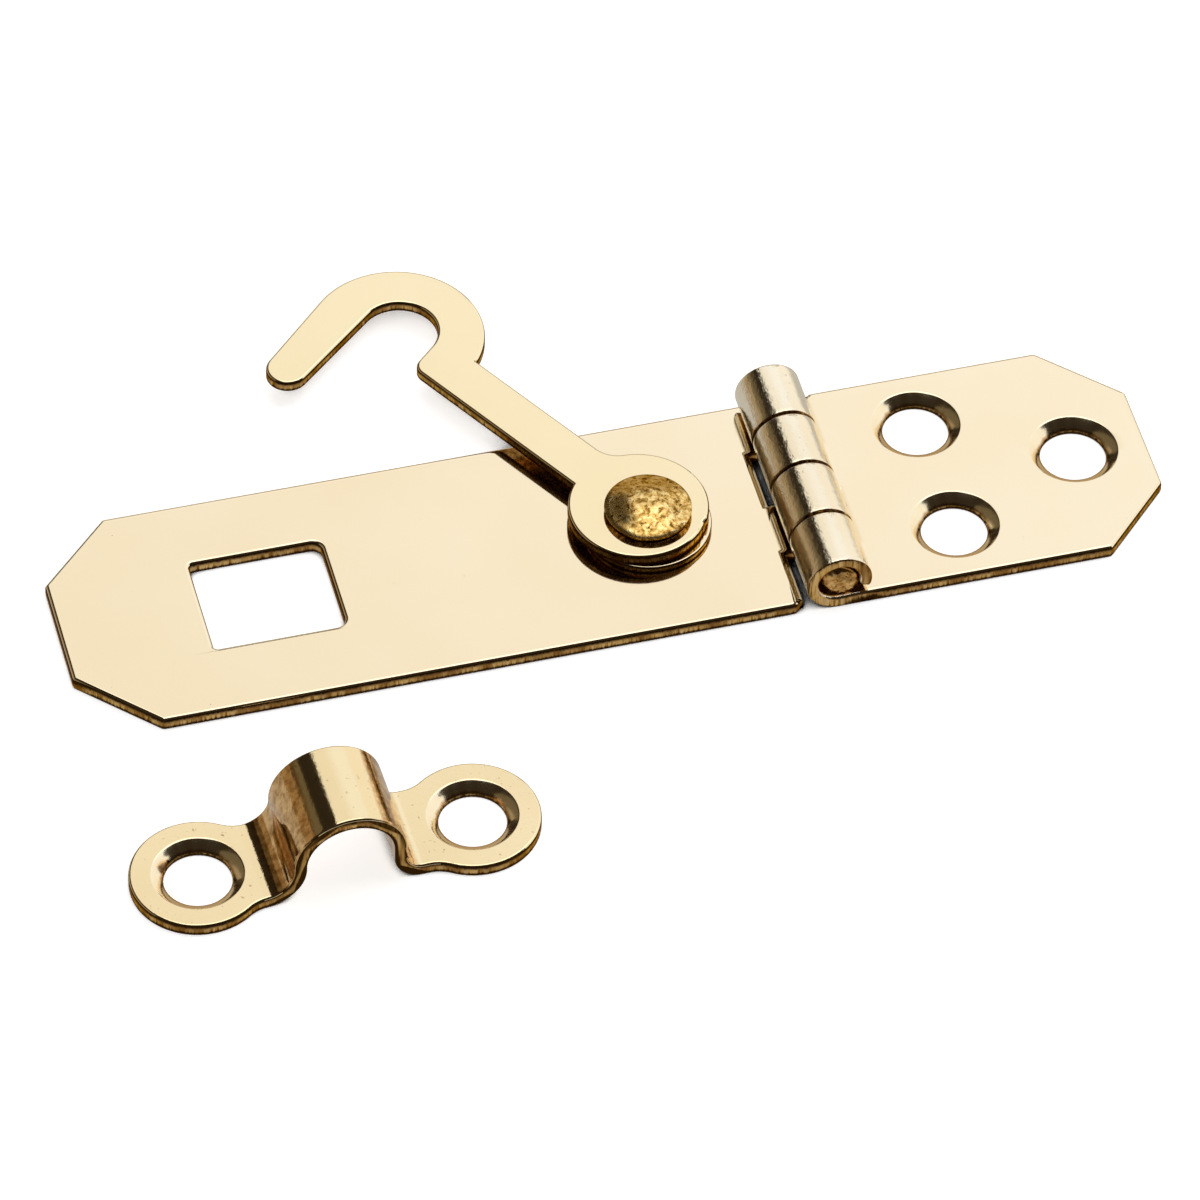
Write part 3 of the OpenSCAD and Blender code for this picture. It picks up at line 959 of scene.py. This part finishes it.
def staple_height(at):
    """Height across the bent strip: on the arch, on its legs, round the bends or on a foot."""
    u = in_staple(at).x - ARCH_X
    leg = ARCH_R + STAPLE_T
    bend = BEND_R_NEAR if u > 0 else BEND_R_FAR
    if at.z > ARCH_Z:
        return (hypot(u, at.z - ARCH_Z) - ARCH_R) / STAPLE_T
    if abs(u) > leg + bend:
        return at.z / STAPLE_T
    if at.z > STAPLE_T + bend:
        return (abs(u) - ARCH_R) / STAPLE_T
    return (bend + STAPLE_T - hypot(leg + bend - abs(u), STAPLE_T + bend - at.z)) / STAPLE_T


def staple_finish(at, normal):
    """0 pressed strip, 1 sheared edge, 2 hole wall."""
    if hole_wall(at, staple_holes(), LAND + HOLE_RIM):
        return 1
    if hole_wall(at, staple_holes(), STAPLE_T):
        return 2
    if abs(in_staple(at).x - ARCH_X) < ARCH_R + STAPLE_T + BEND_R_NEAR + BEND_R_FAR / 2:
        inner = staple_height(at) < 0.3
        return 1 if abs(normal.y) > 0.9 or (inner and abs(normal.y) > 0.3) else 0
    return 1 if -0.95 < normal.z < EDGE_TILT else 0


strap = make_strap()
leaf = make_leaf()
pin = make_pin()
spacer = make_spacer()
rivet = make_rivet()
hook = make_hook()
staple = make_staple()

plate_finishes = (polished, sheared, sunk, rolled, bore, torn)
dress(strap, "strap", "strap", plate_finishes, plate_finish, plate_height)
dress(leaf, "leaf", "leaf", plate_finishes, plate_finish, plate_height, LEAF_HOLES)
dress(pin, "hinge_pin", "leaf", (cropped,), lambda at, normal: 0)
dress(spacer, "spacer", "strap", (polished, sheared, underside), sheet_finish,
      lambda at: (at.z - SPACER_Z[0]) / (SPACER_Z[1] - SPACER_Z[0]))
# Side faces take the darker rivet_side finish, which is painted shade
dress(rivet, "rivet", "strap", (aged, rivet_side_shade), lambda at, normal: int(normal.z < 0.15))
dress(hook, "hook", "hook", (hook_face, sheared, underside), sheet_finish,
      lambda at: (at.z - HOOK_Z) / HOOK_T)
dress(staple, "staple", "leaf", (pressed, sheared, sunk), staple_finish, staple_height,
      staple_holes())


FLOOR_SHADE = 0.6
FLOOR_GLOW = 0.8
# The floor is dark where less than the first share of the sky is seen within so many
# millimetres, and as pale as ever above the second
GAP_SKY = (0.38, 0.48)
GAP_REACH = 2.3


def floor_sheet(name, z):
    bpy.ops.object.select_all(action="DESELECT")
    bpy.ops.mesh.primitive_plane_add(size=4, location=(0, 0, z * MM))
    floor = bpy.context.object
    floor.name = name
    bpy.ops.object.transform_apply(location=True)
    paint = bpy.data.materials.new(name)
    paint.use_nodes = True
    shader = paint.node_tree.nodes["Principled BSDF"]
    shader.inputs["Base Color"].default_value = (FLOOR_SHADE, FLOOR_SHADE, FLOOR_SHADE, 1)
    shader.inputs["Roughness"].default_value = 1
    shader.inputs["Specular IOR Level"].default_value = 0
    floor.data.materials.append(paint)
    return floor


def light_floor(floor):
    """Makes the floor glow, but for narrow gaps, where little light gets down to it."""
    tree = floor.data.materials[0].node_tree
    shader = tree.nodes["Principled BSDF"]
    shader.inputs["Emission Color"].default_value = (1, 1, 1, 1)
    open_sky = tree.nodes.new("ShaderNodeAmbientOcclusion")
    open_sky.samples = 12
    open_sky.inputs["Distance"].default_value = GAP_REACH * MM
    fade = tree.nodes.new("ShaderNodeMapRange")
    fade.inputs["From Min"].default_value = GAP_SKY[0]
    fade.inputs["From Max"].default_value = GAP_SKY[1]
    fade.inputs["To Max"].default_value = FLOOR_GLOW
    tree.links.new(open_sky.outputs["AO"], fade.inputs["Value"])
    for socket in ("Base Color", "Emission Strength"):
        tree.links.new(fade.outputs["Result"], shader.inputs[socket])


def soft_box(name, at, turn, size, level, tint=(1, 1, 1), far_tint=None):
    """A soft box of one colour, or one that changes to another colour to the right and back."""
    bpy.ops.object.light_add(type="AREA", location=at, rotation=[radians(a) for a in turn])
    lamp = bpy.context.object
    lamp.name = name
    lamp.data.shape = "RECTANGLE"
    lamp.data.size, lamp.data.size_y = size
    lamp.data.energy = level * size[0] * size[1] * pi
    lamp.data.color = tint
    if far_tint:
        lamp.data.use_nodes = True
        tree = lamp.data.node_tree
        spot = tree.nodes.new("ShaderNodeNewGeometry")
        across = tree.nodes.new("ShaderNodeVectorMath")
        across.operation = "DOT_PRODUCT"
        across.inputs[1].default_value = (0.9, 0.43, 0)
        tree.links.new(spot.outputs["Position"], across.inputs[0])
        fade = tree.nodes.new("ShaderNodeMapRange")
        fade.inputs["From Min"].default_value = 0.27
        fade.inputs["From Max"].default_value = 0.51
        blend = tree.nodes.new("ShaderNodeMix")
        blend.data_type = "RGBA"
        blend.inputs[6].default_value = (1, 1, 1, 1)
        blend.inputs[7].default_value = (*far_tint, 1)
        tree.links.new(across.outputs["Value"], fade.inputs["Value"])
        tree.links.new(fade.outputs["Result"], blend.inputs[0])
        tree.links.new(blend.outputs[2], tree.nodes["Emission"].inputs["Color"])


# The pale floor is lit to white for the camera. The metal mirrors a second sheet just
# under it, which has only the light of the soft boxes on it, as in a studio.
pale = floor_sheet("pale_floor", 0)
pale.visible_glossy = False
pale.visible_shadow = False
light_floor(pale)
card = floor_sheet("floor_card", -0.01)
card.visible_camera = False
card.visible_diffuse = False
card.visible_shadow = False

soft_box("overhead_box", (0.275, 0.575, 0.7), (0, 0, 0), (1.05, 1.45), 0.93,
         far_tint=(1.09, 1.14, 1.26))
soft_box("right_box", (0.85, 0.475, 0.37), (0, 90, 0), (0.74, 1.65), 1.0)
soft_box("left_card", (-0.8, 0.55, 0.165), (0, -90, 0), (0.33, 1.5), 0.34, (1, 0.78, 0.50))
soft_box("left_wall", (-0.8, 0.70, 0.52), (0, -90, 0), (0.38, 1.8), 0.115, (1, 0.80, 0.46))
soft_box("back_card", (0.3, 1.4, 0.33), (-90, 0, 0), (1.1, 0.66), 0.5, (1, 0.85, 0.62))
soft_box("top_strip", (0.10, 0.10, 0.69), (0, 0, 0), (0.6, 0.5), 0.7)
world = bpy.data.worlds.new("dim_room")
bpy.context.scene.world = world
world.use_nodes = True
world.node_tree.nodes["Background"].inputs["Color"].default_value = (0.028, 0.02, 0.012, 1)
bpy.context.scene.view_settings.view_transform = "Standard"

bpy.ops.object.camera_add(location=(-0.136521, -0.402028, 0.453287),
                          rotation=[radians(a) for a in (42.2798, -0.9618, -14.6132)])
camera = bpy.context.object
camera.data.sensor_width = 36
camera.data.lens = 270.027
camera.data.clip_start = 0.01
camera.data.dof.use_dof = False
bpy.context.scene.camera = camera
